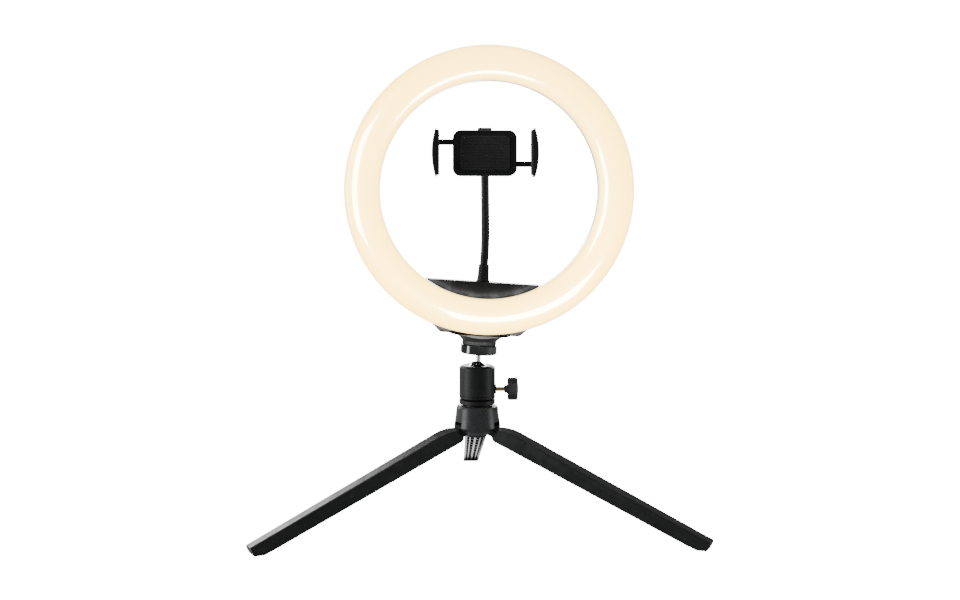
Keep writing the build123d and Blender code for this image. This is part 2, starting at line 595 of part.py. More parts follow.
def grip_pad():
    pad = block((-GRIP_HALF - 2.2, -GRIP_HALF), (-51.4, -42.2), (-19.5, 19.5))
    grooves = [Pos(-GRIP_HALF, -46.8, z) * Box(0.8, 12, 0.8) for z in [n * 3.0 for n in range(-5, 6)]]
    return Pos(0, 0, HOLDER_Z) * (pad - grooves)


def half_turn(shape):
    return Pos(0, 0, HOLDER_Z) * Rot(0, 180, 0) * Pos(0, 0, -HOLDER_Z) * shape


def build_holder():
    outline = rectangle_points(BODY_HALF, BODY_TALL)
    inner = rectangle_points(BODY_HALF - 2, BODY_TALL - 2)
    rear = holder_plate(outline, SPLIT_Y, REAR_Y, 7.0)
    rear = fillet([edge for edge in rear.edges() if abs(edge.center().Y - REAR_Y) < 0.01], 1.8)
    rear = rear - holder_plate(inner, SPLIT_Y - 1, -31.9, 5.0)
    socket = lathe_y([(0, -29.5), (9.6, -29.5), (9.6, -28.4), (8.0, -28.4), (8.0, HOLDER_Y - 0.1),
                      (0, HOLDER_Y - 0.1)], 0, HOLDER_Z)
    rear = rear + socket - Pos(0, HOLDER_Y, HOLDER_Z) * Sphere(6.0 + FIT)
    front = holder_plate(outline, FRONT_Y, SPLIT_Y, 7.0)
    front = fillet([edge for edge in front.edges() if abs(edge.center().Y - FRONT_Y) < 0.01], 1.0)
    front = front - holder_plate(inner, -38.9, SPLIT_Y + 1, 5.0)
    for spot in CLAMP_SPOTS:
        rear = rear + rod(2.6, SPLIT_Y, -31.0, "Y", spot)
        front = front + rod(2.6, -39.2, SPLIT_Y, "Y", spot)
    window_z = (HOLDER_Z + ARM_Z[0] - 0.5, HOLDER_Z + ARM_Z[1] + GAP)
    arm_window = block((-30, -25), (ARM_Y[0] - GAP, ARM_Y[1] + GAP), window_z)
    windows = arm_window + half_turn(arm_window)
    button_window = block((-6 - GAP, 6 + GAP), (-35.2, -31.6), (HOLDER_Z + 17.0, HOLDER_Z + 21))
    for spot in CLAMP_SPOTS:
        rear = rear - rod(1.0, SPLIT_Y - 1, -27, "Y", spot) - rod(2.1, -29.6, -27, "Y", spot)
        front = front - rod(1.0, -38.5, SPLIT_Y + 1, "Y", spot)
    pin_hole = rod(PIN_R, -40.0, -30.2, "Y", (0, HOLDER_Z))
    save_holder("clamp_rear_shell", rear - windows - button_window - pin_hole)
    save_holder("clamp_front_shell", front - windows - button_window - pin_hole)
    clamp_screws = [pan_screw(1.0, 2.0, 1.0, 8.6, -1, spot, -29.6) for spot in CLAMP_SPOTS]
    save_holder("clamp_screws", group(clamp_screws))
    save_holder("face_pad", holder_plate(rectangle_points(22.0, 15.0), FACE_Y, FRONT_Y, 4.0))
    save_holder("pinion_pin", pin_hole)

    teeth = make_face(Polyline(*gear_face(PINION_TEETH, PINION_R, 0.2), close=True))
    wheel = Pos(0, ARM_Y[1], HOLDER_Z) * extrude(Plane.XZ * teeth, ARM_Y[1] - ARM_Y[0])
    saw = []
    for tooth in range(24):
        angle = 2 * pi * tooth / 24
        saw += [(7.1 * cos(angle), 7.1 * sin(angle)), (8.0 * cos(angle + 0.04), 8.0 * sin(angle + 0.04))]
    ratchet = Pos(0, RATCHET_Y[1], HOLDER_Z) * extrude(Plane.XZ * make_face(Polyline(*saw, close=True)),
                                                       RATCHET_Y[1] - RATCHET_Y[0])
    sleeve = rod(3.4, ARM_Y[1] - 0.2, RATCHET_Y[0] + 0.2, "Y", (0, HOLDER_Z))
    pinion = wheel + sleeve + ratchet
    save_holder("pinion", pinion - rod(PIN_R + FIT, -40, -30, "Y", (0, HOLDER_Z)))

    left = upper_arm()
    save_holder("left_arm", left)
    save_holder("right_arm", half_turn(left))
    save_holder("left_pad", grip_pad())
    save_holder("right_pad", half_turn(grip_pad()))

    z = HOLDER_Z
    cap = block((-6, 6), (-34.8, -32.0), (z + 16.5, z + 22.6))
    cap = fillet(cap.edges().group_by(Axis.Z)[-1], 0.8)
    rails = [block((side - 1.2, side + 1.2), RATCHET_Y, (z - 13, z + 17)) for side in (-10.0, 10.0)]
    bridge = block((-11.2, 11.2), RATCHET_Y, (z + 14.5, z + 17))
    foot = block((-11.2, 11.2), RATCHET_Y, (z - 13, z - 10.2))
    pawl = plate([(-1.6, -10.3), (1.6, -10.3), (0.2, -8.5), (-0.6, -8.5)], *RATCHET_Y)
    save_holder("release_button", joined(cap, bridge, *rails, foot, Pos(0, 0, z) * pawl))
    spring_path = Helix(pitch=1.6, height=3.9, radius=1.0, center=(0, -33.4, z - 17.45))
    wire = sweep(Plane(spring_path @ 0, z_dir=spring_path % 0) * Circle(0.3), path=spring_path, is_frenet=True)
    save_holder("release_spring", wire)

    nut = lathe_y([(8.0 + FIT, -27.9), (10.6, -27.9), (11.0, -27.3), (11.0, -22.2), (9.0, -20.6), (4.6, -20.6),
                   (4.6, HOLDER_Y), (8.0 + FIT, HOLDER_Y)], 0, HOLDER_Z)
    nut = nut - Pos(0, HOLDER_Y, HOLDER_Z) * Sphere(6.0 + FIT)
    nut = nut - Pos(0, HOLDER_Y + 9.7, HOLDER_Z) * Rot(90, 0, 0) * Cone(2.0, 11.0, 9.0)
    for flute in range(12):
        angle = radians(flute * 30 + 15)
        nut = nut - rod(0.9, -30, -22.5, "Y", (11.3 * cos(angle), HOLDER_Z + 11.3 * sin(angle)))
    save_holder("swivel_nut", nut)


def main():
    os.makedirs("parts", exist_ok=True)
    build_legs()
    build_hub()
    build_ball_head()
    build_lock_knob()
    build_platform()
    mount_spots = build_ring()
    build_bracket(mount_spots)
    build_gooseneck()
    build_holder()
    print(f"axis y {AXIS_Y:.3f}, holder at {HOLDER_X:.3f}, {HOLDER_Y:.3f}, {HOLDER_Z:.3f}")


main()
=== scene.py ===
"""Looks of the ring light: materials, soft and flexible pieces, studio and camera, in metres."""
import json
from math import atan2, cos, pi, radians, sin, sqrt, tan

import bpy
from mathutils import Matrix, Quaternion, Vector


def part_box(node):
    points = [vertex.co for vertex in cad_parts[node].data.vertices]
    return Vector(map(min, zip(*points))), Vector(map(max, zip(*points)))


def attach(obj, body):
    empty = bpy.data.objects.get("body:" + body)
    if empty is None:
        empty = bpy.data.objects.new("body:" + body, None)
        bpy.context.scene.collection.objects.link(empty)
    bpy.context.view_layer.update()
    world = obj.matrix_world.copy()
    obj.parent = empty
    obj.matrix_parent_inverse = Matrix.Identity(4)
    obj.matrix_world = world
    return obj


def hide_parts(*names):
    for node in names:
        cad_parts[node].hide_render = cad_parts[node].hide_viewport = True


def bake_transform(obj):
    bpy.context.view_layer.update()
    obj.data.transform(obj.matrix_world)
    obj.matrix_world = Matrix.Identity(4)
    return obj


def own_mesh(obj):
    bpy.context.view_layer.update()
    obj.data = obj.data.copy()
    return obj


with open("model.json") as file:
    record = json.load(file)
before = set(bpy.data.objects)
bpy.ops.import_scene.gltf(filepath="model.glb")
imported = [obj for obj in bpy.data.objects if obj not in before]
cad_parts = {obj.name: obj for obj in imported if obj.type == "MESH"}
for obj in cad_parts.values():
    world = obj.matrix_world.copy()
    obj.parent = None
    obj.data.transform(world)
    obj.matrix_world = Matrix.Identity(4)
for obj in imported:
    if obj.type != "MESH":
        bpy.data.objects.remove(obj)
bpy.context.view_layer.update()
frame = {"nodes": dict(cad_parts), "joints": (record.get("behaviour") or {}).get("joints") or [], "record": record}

NODES = frame["nodes"]
JOINTS = {joint["name"]: joint for joint in frame["joints"]}
MM = 0.001


# ---------------------------------------------------------------- places, from the frame
def middle(node):
    low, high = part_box(node)
    return (low + high) / 2


BALL = Vector(JOINTS["ball_tilt"]["pos_m"])                 # the tripod's ball
STAND = Vector((BALL.x, BALL.y, 0))                         # foot of the tripod's axis
SPIN = Vector(JOINTS["head_spin"]["axis"])                  # the leaning head's own upright
LEAN = Matrix.Rotation(atan2(SPIN.x, SPIN.z), 4, "Y")
HEAD = Matrix.Translation(BALL) @ LEAN @ Matrix.Translation(-BALL) @ Matrix.Translation(STAND)
HOLDER = Vector(JOINTS["holder_turn"]["pos_m"])             # ball behind the phone clamp
RING = middle("diffuser")
RING_R = 130 * MM                                           # outer radius of the diffuser
HOLE_R = 98 * MM                                            # radius of its opening
RING_HEIGHT = 295                                           # its middle in the head's frame, mm
NECK_Y = 5.0                                                # the flexible neck behind the axis, mm
RING_GLOW = 6.5                                             # emission of the lit diffuser
LED_GLOW = 2.0                                              # emission of the LEDs behind it
BACKDROP = 17.0                                             # floor and sky as the camera sees them
DIM_SKY = 0.25                                              # the same sky as a source of light


def on_head(x, y, z):
    """A place in the head's own upright frame, in mm from the tripod's axis and the floor."""
    return HEAD @ (Vector((x, y, z)) * MM)


# ---------------------------------------------------------------- material helpers
class Shader:
    """A material and short ways to add nodes to it."""

    def __init__(self, name, color, roughness, metallic=0.0, **sockets):
        self.material = bpy.data.materials.new(name)
        self.material.use_nodes = True
        self.material.diffuse_color = (*color, 1.0)
        self.tree = self.material.node_tree
        self.main = self.tree.nodes["Principled BSDF"]
        self.main.inputs["Base Color"].default_value = (*color, 1.0)
        self.main.inputs["Roughness"].default_value = roughness
        self.main.inputs["Metallic"].default_value = metallic
        for key, value in sockets.items():
            self.main.inputs[key.replace("_", " ")].default_value = value
        self.place = self.add("ShaderNodeTexCoord").outputs["Object"]

    def add(self, kind, **settings):
        node = self.tree.nodes.new(kind)
        for key, value in settings.items():
            setattr(node, key, value)
        return node

    def link(self, source, target):
        self.tree.links.new(source, target)

    def noise(self, scale, detail=3.0, stretch=None):
        node = self.add("ShaderNodeTexNoise")
        node.inputs["Scale"].default_value = scale
        node.inputs["Detail"].default_value = detail
        source = self.place
        if stretch:
            mapping = self.add("ShaderNodeMapping")
            mapping.inputs["Scale"].default_value = stretch
            self.link(source, mapping.inputs["Vector"])
            source = mapping.outputs["Vector"]
        self.link(source, node.inputs["Vector"])
        return node.outputs["Fac"]

    def range(self, value, low, high, start=0.3, end=0.7):
        """Value from start to end, spread over low to high."""
        node = self.add("ShaderNodeMapRange")
        for key, number in (("From Min", start), ("From Max", end), ("To Min", low), ("To Max", high)):
            node.inputs[key].default_value = number
        self.link(value, node.inputs["Value"])
        return node.outputs["Result"]

    def ramp(self, value, stops):
        """Colours at their places from 0 to 1, blended between."""
        node = self.add("ShaderNodeValToRGB")
        ramp = node.color_ramp
        while len(ramp.elements) < len(stops):
            ramp.elements.new(0.5)
        for element, (place, color) in zip(ramp.elements, stops):
            element.position = place
            element.color = (*color, 1.0)
        self.link(value, node.inputs["Fac"])
        return node.outputs["Color"]

    def bump(self, height, distance, strength):
        node = self.add("ShaderNodeBump")
        node.inputs["Strength"].default_value = strength
        node.inputs["Distance"].default_value = distance
        self.link(height, node.inputs["Height"])
        return node.outputs["Normal"]

    def set(self, socket, source):
        self.link(source, self.main.inputs[socket])


def scaled(color, factor):
    return tuple(min(1.0, channel * factor) for channel in color)


def moulded(name, color, roughness, grain=900.0, depth=0.05 * MM, variation=0.25, **sockets):
    """Moulded plastic or rubber: spark-eroded grain, cloudy colour and handling marks in the gloss."""
    shader = Shader(name, color, roughness, Specular_IOR_Level=0.32, **sockets)
    cloud = shader.noise(35.0, 4.0)
    darker, lighter = scaled(color, 1 - variation), scaled(color, 1 + variation)
    shader.set("Base Color", shader.ramp(cloud, [(0.3, darker), (0.5, color), (0.72, lighter)]))
    smudge = shader.noise(120.0, 5.0)
    shader.set("Roughness", shader.range(smudge, roughness - 0.05, roughness + 0.08))
    fine = shader.noise(grain, 2.0)
    shader.set("Normal", shader.bump(fine, depth, 0.6))
    return shader.material


def painted(name, color, roughness, coat=0.0, coat_rough=0.1):
    """Paint over metal: slight orange peel under a clear, glossier film."""
    shader = Shader(name, color, roughness, Specular_IOR_Level=0.3, Coat_Weight=coat,
                    Coat_Roughness=coat_rough)
    peel = shader.noise(420.0, 2.0)
    dust = shader.noise(1600.0, 1.0)
    shader.set("Roughness", shader.range(shader.noise(90.0, 5.0), roughness - 0.04, roughness + 0.07))
    shader.set("Base Color", shader.ramp(dust, [(0.35, color), (0.75, scaled(color, 1.5))]))
    shader.set("Normal", shader.bump(peel, 0.04 * MM, 0.35))
    return shader.material


def metal(name, color, roughness, scratch=(1, 1, 12)):
    """Bare or plated metal with fine turning marks; scratch is how dense they are along x, y and z."""
    shader = Shader(name, color, roughness, metallic=1.0)
    lines = shader.noise(260.0, 3.0, scratch)
    shader.set("Roughness", shader.range(lines, max(0.02, roughness - 0.05), roughness + 0.1))
    tarnish = shader.noise(60.0, 4.0)
    shader.set("Base Color", shader.ramp(tarnish, [(0.3, scaled(color, 0.86)), (0.7, color)]))
    shader.set("Normal", shader.bump(lines, 0.02 * MM, 0.4))
    return shader.material


def lit_diffuser():
    """Milky dome lit from behind: creamier towards its edges, with a glossy skin and unlit rims."""
    shader = Shader("diffuser_lit", (0.25, 0.16, 0.045), 0.30, Coat_Weight=1.0, Coat_Roughness=0.045,
                    Specular_IOR_Level=0.3)
    centred = shader.add("ShaderNodeVectorMath", operation="SUBTRACT")
    centred.inputs[1].default_value = RING
    flat = shader.add("ShaderNodeVectorMath", operation="MULTIPLY")
    flat.inputs[1].default_value = (1.0, 0.0, 1.0)
    radius = shader.add("ShaderNodeVectorMath", operation="LENGTH")
    shader.link(shader.place, centred.inputs[0])
    shader.link(centred.outputs["Vector"], flat.inputs[0])
    shader.link(flat.outputs["Vector"], radius.inputs[0])
    share = shader.range(radius.outputs["Value"], 0.0, 1.0, HOLE_R, RING_R)
    rim = (0.42, 0.34, 0.20)
    glow = shader.ramp(share, [(0.0, rim), (0.03, (0.80, 0.50, 0.062)), (0.10, (0.93, 0.60, 0.078)),
                               (0.5, (1.0, 0.65, 0.084)), (0.85, (0.95, 0.60, 0.074)),
                               (0.97, (0.78, 0.50, 0.062)), (1.0, rim)])
    cloud = shader.range(shader.noise(9.0, 2.0), 0.97, 1.03)
    tinted = shader.add("ShaderNodeMix", data_type="RGBA", blend_type="MULTIPLY")
    tinted.inputs["Factor"].default_value = 1.0
    shader.link(glow, tinted.inputs["A"])
    shader.link(cloud, tinted.inputs["B"])
    shader.set("Emission Color", tinted.outputs["Result"])
    shader.main.inputs["Emission Strength"].default_value = RING_GLOW
    shader.set("Normal", shader.bump(shader.noise(60.0, 2.0), 0.03 * MM, 0.1))
    return shader.material


def led_face():
    """Phosphor of an LED package, uneven in its yellow."""
    shader = Shader("led_lit", (0.95, 0.8, 0.35), 0.35)
    phosphor = shader.ramp(shader.noise(900.0), [(0.3, (1.0, 0.78, 0.42)), (0.7, (1.0, 0.9, 0.65))])
    shader.set("Emission Color", phosphor)
    shader.main.inputs["Emission Strength"].default_value = LED_GLOW
    return shader.material


def solder_mask():
    """White lacquer on the LED board."""
    shader = Shader("board_white", (0.86, 0.86, 0.83), 0.4)
    lacquer = shader.ramp(shader.noise(300.0), [(0.35, (0.78, 0.78, 0.75)), (0.6, (0.88, 0.88, 0.85))])
    shader.set("Base Color", lacquer)
    shader.set("Normal", shader.bump(shader.noise(700.0), 0.03 * MM, 0.3))
    return shader.material


MATERIALS = {
    "diffuser_lit": lit_diffuser(),
    "led_lit": led_face(),
    "board_white": solder_mask(),
    "housing_plastic": moulded("housing_plastic", (0.010, 0.010, 0.0105), 0.42),
    "bracket_plastic": moulded("bracket_plastic", (0.010, 0.010, 0.0095), 0.46, depth=0.02 * MM,
                               variation=0.08),
    "leg_plastic": moulded("leg_plastic", (0.009, 0.0095, 0.010), 0.34, 1100.0, 0.04 * MM),
    "hub_plastic": moulded("hub_plastic", (0.026, 0.0285, 0.029), 0.33, 1100.0, 0.04 * MM),
    "clamp_plastic": moulded("clamp_plastic", (0.009, 0.009, 0.0095), 0.36),
    "knob_plastic": moulded("knob_plastic", (0.080, 0.080, 0.080), 0.36),
    "nylon": moulded("nylon", (0.78, 0.76, 0.70), 0.45, Subsurface_Weight=0.1),
    "black_metal": painted("black_metal", (0.005, 0.005, 0.005), 0.46),
    "gloss_black": painted("gloss_black", (0.004, 0.0045, 0.0045), 0.16, coat=1.0, coat_rough=0.04),
    "chrome": metal("chrome", (0.90, 0.91, 0.92), 0.05),
    "zinc_steel": metal("zinc_steel", (0.60, 0.60, 0.60), 0.3),
    "black_steel": metal("black_steel", (0.05, 0.05, 0.052), 0.36),
    "brass": metal("brass", (0.60, 0.52, 0.26), 0.4, (6, 1, 1)),
    "foot_rubber": moulded("foot_rubber", (0.008, 0.008, 0.008), 0.7, 700.0, 0.08 * MM),
    "pad_rubber": moulded("pad_rubber", (0.008, 0.008, 0.008), 0.65, 700.0, 0.08 * MM),
    "grip_rubber": moulded("grip_rubber", (0.022, 0.022, 0.022), 0.6, 700.0, 0.08 * MM),
    "neck_rubber": moulded("neck_rubber", (0.007, 0.007, 0.0075), 0.46, 800.0, 0.05 * MM),
    "wire_insulation": moulded("wire_insulation", (0.45, 0.03, 0.02), 0.4),
}


def dress_nodes():
    """Every CAD node gets its slot's material, and most get rounded edges that catch the light."""
    unbevelled = ("diffuser", "led_chips", "led_leads", "release_spring", "gooseneck_lower",
                  "gooseneck_upper")
    for row in frame["record"]["subparts"]:
        piece = NODES[row["node"]]
        piece.data.materials.clear()
        piece.data.materials.append(MATERIALS[row["material_slot"]])
        if row["node"] in unbevelled:
            continue
        bevel = piece.modifiers.new("soft_edges", "BEVEL")
        bevel.width = 0.25 * MM
        bevel.segments = 2
        bevel.limit_method = "ANGLE"
        bevel.angle_limit = radians(35)
        bevel.harden_normals = False


# ---------------------------------------------------------------- mesh helpers
def new_piece(name, points, faces, slot, body=None):
    """A smooth mesh with crisp corners and its slot's material, riding on a body if one is given."""
    mesh = bpy.data.meshes.new(name)
    mesh.from_pydata([tuple(point) for point in points], [], faces)
    mesh.validate()
    mesh.update()
    mesh.polygons.foreach_set("use_smooth", [True] * len(mesh.polygons))
    mesh.set_sharp_from_angle(angle=radians(38))
    piece = bpy.data.objects.new(name, mesh)
    bpy.context.scene.collection.objects.link(piece)
    mesh.materials.append(MATERIALS[slot])
    if body:
        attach(piece, body)
    return piece


def ring_faces(rings, around, closed=False):
    """Quads from each ring of points to the next, and from the last to the first if closed."""
    faces = []
    for ring in range(rings if closed else rings - 1):
        for step in range(around):
            here, after = ring * around, (ring + 1) % rings * around
            beside = (step + 1) % around
            faces.append((here + step, here + beside, after + beside, after + step))
    return faces


def swept_tube(name, route, radius_at, slot, around=32, across=Vector((1, 0, 0))):
    """Capped tube along a route that never runs along across; radius_at(distance, angle) is its skin."""
    points = []
    travelled = 0.0
    for number, spot in enumerate(route):
        before, after = route[max(0, number - 1)], route[min(len(route) - 1, number + 1)]
        along = (after - before).normalized()
        side = (across - along * along.dot(across)).normalized()
        up = side.cross(along)
        if number:
            travelled += (spot - route[number - 1]).length
        for step in range(around):
            angle = 2 * pi * step / around
            points.append(spot + (side * cos(angle) + up * sin(angle)) * radius_at(travelled, angle))
    faces = ring_faces(len(route), around)
    first, last = len(points), len(points) + 1
    points += [route[0], route[-1]]
    end = (len(route) - 1) * around
    for step in range(around):
        beside = (step + 1) % around
        faces.append((first, beside, step))
        faces.append((last, end + step, end + beside))
    return new_piece(name, points, faces, slot)


# ---------------------------------------------------------------- gooseneck
def rounded_route(corners, bend, step):
    """Points along two straight runs with a tangent arc of radius bend at the corner."""
    start, corner, end = corners
    into, out = (corner - start).normalized(), (end - corner).normalized()
    turn = into.angle(out)
    reach = bend * tan(turn / 2)
    arc_start, arc_end = corner - into * reach, corner + out * reach
    normal = (out - into * into.dot(out)).normalized()
    centre = arc_start + normal * bend
    route = []
    count = int((arc_start - start).length / step)
    route += [start.lerp(arc_start, n / count) for n in range(count)]
    count = max(8, int(bend * turn / step))
    route += [centre - normal * bend * cos(turn * n / count) + into * bend * sin(turn * n / count)
              for n in range(count)]
    count = int((end - arc_end).length / step)
    route += [arc_end.lerp(end, n / count) for n in range(count + 1)]
    return route


def build_gooseneck():
    """Rubber-covered spiral tube, in two lengths, each drawn with a rounded bend at one corner of the neck."""
    lower_top, upper_top, forward = 250, 318, radians(8)
    root = on_head(0, NECK_Y, 227)
    lower_corner = on_head(0, NECK_Y, lower_top)
    upper_corner = on_head(-5.55, NECK_Y - (upper_top - lower_top) * tan(forward), upper_top)
    centre = lower_corner.lerp(upper_corner, 0.5)
    to_ferrule = 9.6 * MM
    ferrule = HOLDER + (upper_corner - HOLDER).normalized() * to_ferrule
    pitch, groove, radius = 2.0 * MM, 0.14 * MM, 3.8 * MM

    def skin(travelled, angle):
        wave = 0.5 + 0.5 * cos(2 * pi * travelled / pitch - angle)
        return radius - groove * (1 - wave ** 0.5)

    step = 0.25 * MM
    lower_route = rounded_route((root, lower_corner, centre), 140 * MM, step)
    lower = swept_tube("gooseneck_lower_tube", lower_route, skin, "neck_rubber")
    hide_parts("gooseneck_lower")
    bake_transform(lower)
    upper_route = rounded_route((centre, upper_corner, ferrule), 18 * MM, step)
    upper = swept_tube("gooseneck_upper_tube", upper_route, skin, "neck_rubber")
    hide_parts("gooseneck_upper")
    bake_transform(upper)


def build_spring():
    """The release button's coil spring, drawn to the CAD spring's height and carried by the clamp."""
    low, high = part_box("release_spring")
    centre = (low + high) / 2
    wire, coil, pitch, travel = 0.3 * MM, 1.0 * MM, 1.6 * MM, 2.0 * MM
    tall = high.z - low.z
    rise = tall - 2 * wire
    turns = rise / pitch
    count = int(turns * 24)
    route = []
    for number in range(count + 1):
        angle = 2 * pi * turns * number / count
        route.append(Vector((centre.x + coil * cos(angle), centre.y + coil * sin(angle),
                             low.z + wire + rise * number / count)))
    spring = swept_tube("release_coil", route, lambda travelled, angle: wire, "zinc_steel", around=12,
                        across=Vector((0, 0, 1)))
    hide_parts("release_spring")
    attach(spring, "clamp")
    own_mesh(spring)


# ---------------------------------------------------------------- rubber pieces
def lathe(name, outline, place, slot, body, node, around=96):
    """Ring turned from a closed outline of (radius, height) in millimetres, then moved to its place."""
    points = []
    for radius, height in outline:
        for step in range(around):
            angle = 2 * pi * step / around
            points.append(place @ (Vector((radius * cos(angle), radius * sin(angle), height)) * MM))
    piece = new_piece(name, points, ring_faces(len(outline), around, closed=True), slot, body)
    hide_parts(node)


def build_boots():
    """Rubber boot on the neck's root, pad on the platform and grommet at the cable's hole."""
    boot = [(3.8, 211.4), (6.1, 211.4), (6.2, 211.6), (6.15, 212.0), (5.95, 212.5), (5.6, 213.2),
            (5.45, 213.9)]
    for ring in range(5):
        z = 215.9 + ring * 2.1
        girth = 5.3 - ring * 0.08
        boot += [(girth, z - 0.9), (girth + 0.04, z - 0.45), (girth, z), (girth - 0.25, z + 0.3),
                 (girth - 0.25, z + 0.6)]
    boot += [(4.9, 225.4), (4.85, 226.4), (4.7, 226.85), (4.45, 227.0), (3.8, 227.0)]
    at_neck = HEAD @ Matrix.Translation((0, NECK_Y * MM, 0))
    lathe("gooseneck_boot", boot, at_neck, "neck_rubber", "light_head", "gooseneck_sleeve")

    pad = [(3.3, 154.6), (14.85, 154.6), (15.0, 154.75), (15.0, 155.15), (14.85, 155.3), (13.9, 155.3),
           (13.6, 155.1), (13.3, 155.3), (12.3, 155.3), (12.0, 155.1), (11.7, 155.3), (3.3, 155.3)]
    lathe("platform_cushion", pad, HEAD, "pad_rubber", "light_head", "platform_pad")

    cable_height = 176
    grommet = [(2.2, 9.0), (5.2, 9.0), (5.4, 9.2), (5.4, 10.8), (5.2, 11.0), (4.0, 11.0), (4.0, 12.6),
               (5.45, 12.6), (5.6, 12.8), (5.5, 13.4), (5.2, 14.2)]
    for ring in range(3):
        y, girth = 14.5 + ring * 1.6, 5.0 - ring * 0.5
        grommet += [(girth, y), (girth - 0.15, y + 0.08), (girth - 0.85, y + 0.2),
                    (girth - 0.85, y + 0.75), (girth - 0.35, y + 0.85), (girth - 0.2, y + 0.95)]
    grommet += [(3.75, 19.2), (3.5, 19.55), (3.2, 19.6), (2.5, 19.6), (2.2, 19.4)]
    along_y = Matrix.Rotation(radians(-90), 4, "X")
    at_hole = Matrix.Translation(on_head(0, 0, cable_height)) @ along_y
    lathe("cable_grommet", grommet, at_hole, "pad_rubber", "light_head", "cable_gland", 64)


def shoe_outline():
    """Side view of a shoe, anticlockwise: (reach from the tripod's axis, height, half width) in mm."""
    outline = [(199.6, 2.2, 8.05), (201.2, 1.5, 8.05), (204.6, 0.2, 8.0), (205.3, 0.0, 7.95)]
    for groove in range(3):
        reach = 206.4 + groove * 2.1
        half = 7.9 - groove * 0.22
        outline += [(reach, 0.0, half), (reach + 0.12, 0.5, half), (reach + 0.7, 0.5, half - 0.05),
                    (reach + 0.82, 0.0, half - 0.05)]
    return outline + [(212.7, 0.0, 7.2), (213.25, 0.2, 7.1), (214.1, 2.2, 6.7)]


def build_shoes():
    """Grooved rubber shoe under each foot, its side edges rounded by drawing the outline in."""
    outline = shoe_outline()
    spans = [(-1.0, 0.22), (-0.975, 0.06), (-0.93, 0.0), (-0.5, 0.0), (0.0, 0.0), (0.5, 0.0), (0.93, 0.0),
             (0.975, 0.06), (1.0, 0.22)]
    centre_reach, shoe_top = 207.0, 2.2
    for name in ("back", "left", "right"):
        pivot = Vector(JOINTS[f"leg_{name}_fold"]["pos_m"]) - STAND
        place = Matrix.Translation(STAND) @ Matrix.Rotation(atan2(pivot.y, pivot.x), 4, "Z")
        points = []
        for across, inset in spans:
            for reach, height, half in outline:
                pulled = reach + inset * (1 if reach < centre_reach else -1)
                lifted = min(height + inset, shoe_top) if height < 1 else height
                points.append(place @ (Vector((pulled, across * half, lifted)) * MM))
        faces = ring_faces(len(spans), len(outline))
        faces.append(tuple(range(len(outline))))
        faces.append(tuple(reversed(range((len(spans) - 1) * len(outline), len(spans) * len(outline)))))
        shoe = new_piece(f"foot_shoe_{name}", points, faces, "foot_rubber", f"leg_{name}")
        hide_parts(f"foot_pad_{name}")


def cushion(name, place, half_u, half_v, thick, corner, relief, slot, body, node, step):
    """Rubber pad with a rounded rim; relief(u, v) is how far its skin sinks. Sizes in millimetres."""
    rim = min(0.7, thick * 0.6)
    columns, rows = int(2 * half_u / step), int(2 * half_v / step)
    points = []
    for row in range(rows + 1):
        for column in range(columns + 1):
            u, v = (2 * column / columns - 1) * half_u, (2 * row / rows - 1) * half_v
            edge = min(half_u - abs(u), half_v - abs(v))
            deep_u, deep_v = abs(u) - (half_u - corner), abs(v) - (half_v - corner)
            if deep_u > 0 and deep_v > 0:
                shrink = max(deep_u, deep_v) / sqrt(deep_u ** 2 + deep_v ** 2)
                u = (half_u - corner + deep_u * shrink) * (1 if u > 0 else -1)
                v = (half_v - corner + deep_v * shrink) * (1 if v > 0 else -1)
            height = thick
            if edge < rim:
                height -= rim - sqrt(rim ** 2 - (rim - edge) ** 2)
            height -= relief(u, v) * min(1.0, max(0.0, (edge - rim) / 0.6))
            points.append(place @ (Vector((u, v, height)) * MM))
    wide = columns + 1
    faces = []
    for row in range(rows):
        for column in range(columns):
            near, far = row * wide + column, (row + 1) * wide + column
            faces.append((near, near + 1, far + 1, far))
    border = ([column for column in range(columns)] + [row * wide + columns for row in range(rows)]
              + [rows * wide + column for column in range(columns, 0, -1)]
              + [row * wide for row in range(rows, 0, -1)])
    base = len(points)
    inverse = place.inverted()
    for spot in border:
        flat = inverse @ points[spot]
        flat.z = 0
        points.append(place @ flat)
    for number, spot in enumerate(border):
        after = (number + 1) % len(border)
        faces.append((border[after], spot, base + number, base + after))
    faces.append(tuple(reversed(range(base, base + len(border)))))
    pad = new_piece(name, points, faces, slot, body)
    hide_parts(node)


def ribs(pitch, depth, share=0.62):
    """Rounded ribs across v: flat crowns with soft grooves between."""
    def relief(u, v):
        wave = abs(((v / pitch) % 1.0) - 0.5) * 2
        return depth * max(0.0, (wave - share) / (1 - share)) ** 0.7
    return relief


def build_pads():
    """The clamp's rubber: a ribbed pad on each grip and one on its face."""
    for side, name in ((1, "left"), (-1, "right")):
        low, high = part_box(f"{name}_pad")
        centre = (low + high) / 2
        base = low.x if side > 0 else high.x
        place = Matrix.Translation((base, centre.y, centre.z)) @ Matrix(
            ((0, 0, side, 0), (side, 0, 0, 0), (0, 1, 0, 0), (0, 0, 0, 1)))
        size = (high - low) / MM
        cushion(f"{name}_grip_rubber", place, size.y / 2, size.z / 2, size.x, 1.6, ribs(1.95, 0.55),
                "grip_rubber", f"{name}_grip", f"{name}_pad", 0.25)
    low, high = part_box("face_pad")
    centre, size = (low + high) / 2, (high - low) / MM
    place = Matrix.Translation((centre.x, high.y, centre.z)) @ Matrix(
        ((1, 0, 0, 0), (0, 0, -1, 0), (0, 1, 0, 0), (0, 0, 0, 1)))
    cushion("face_rubber", place, size.x / 2, size.z / 2, size.y, 4.0, ribs(2.5, 0.45),
            "grip_rubber", "clamp", "face_pad", 0.3)


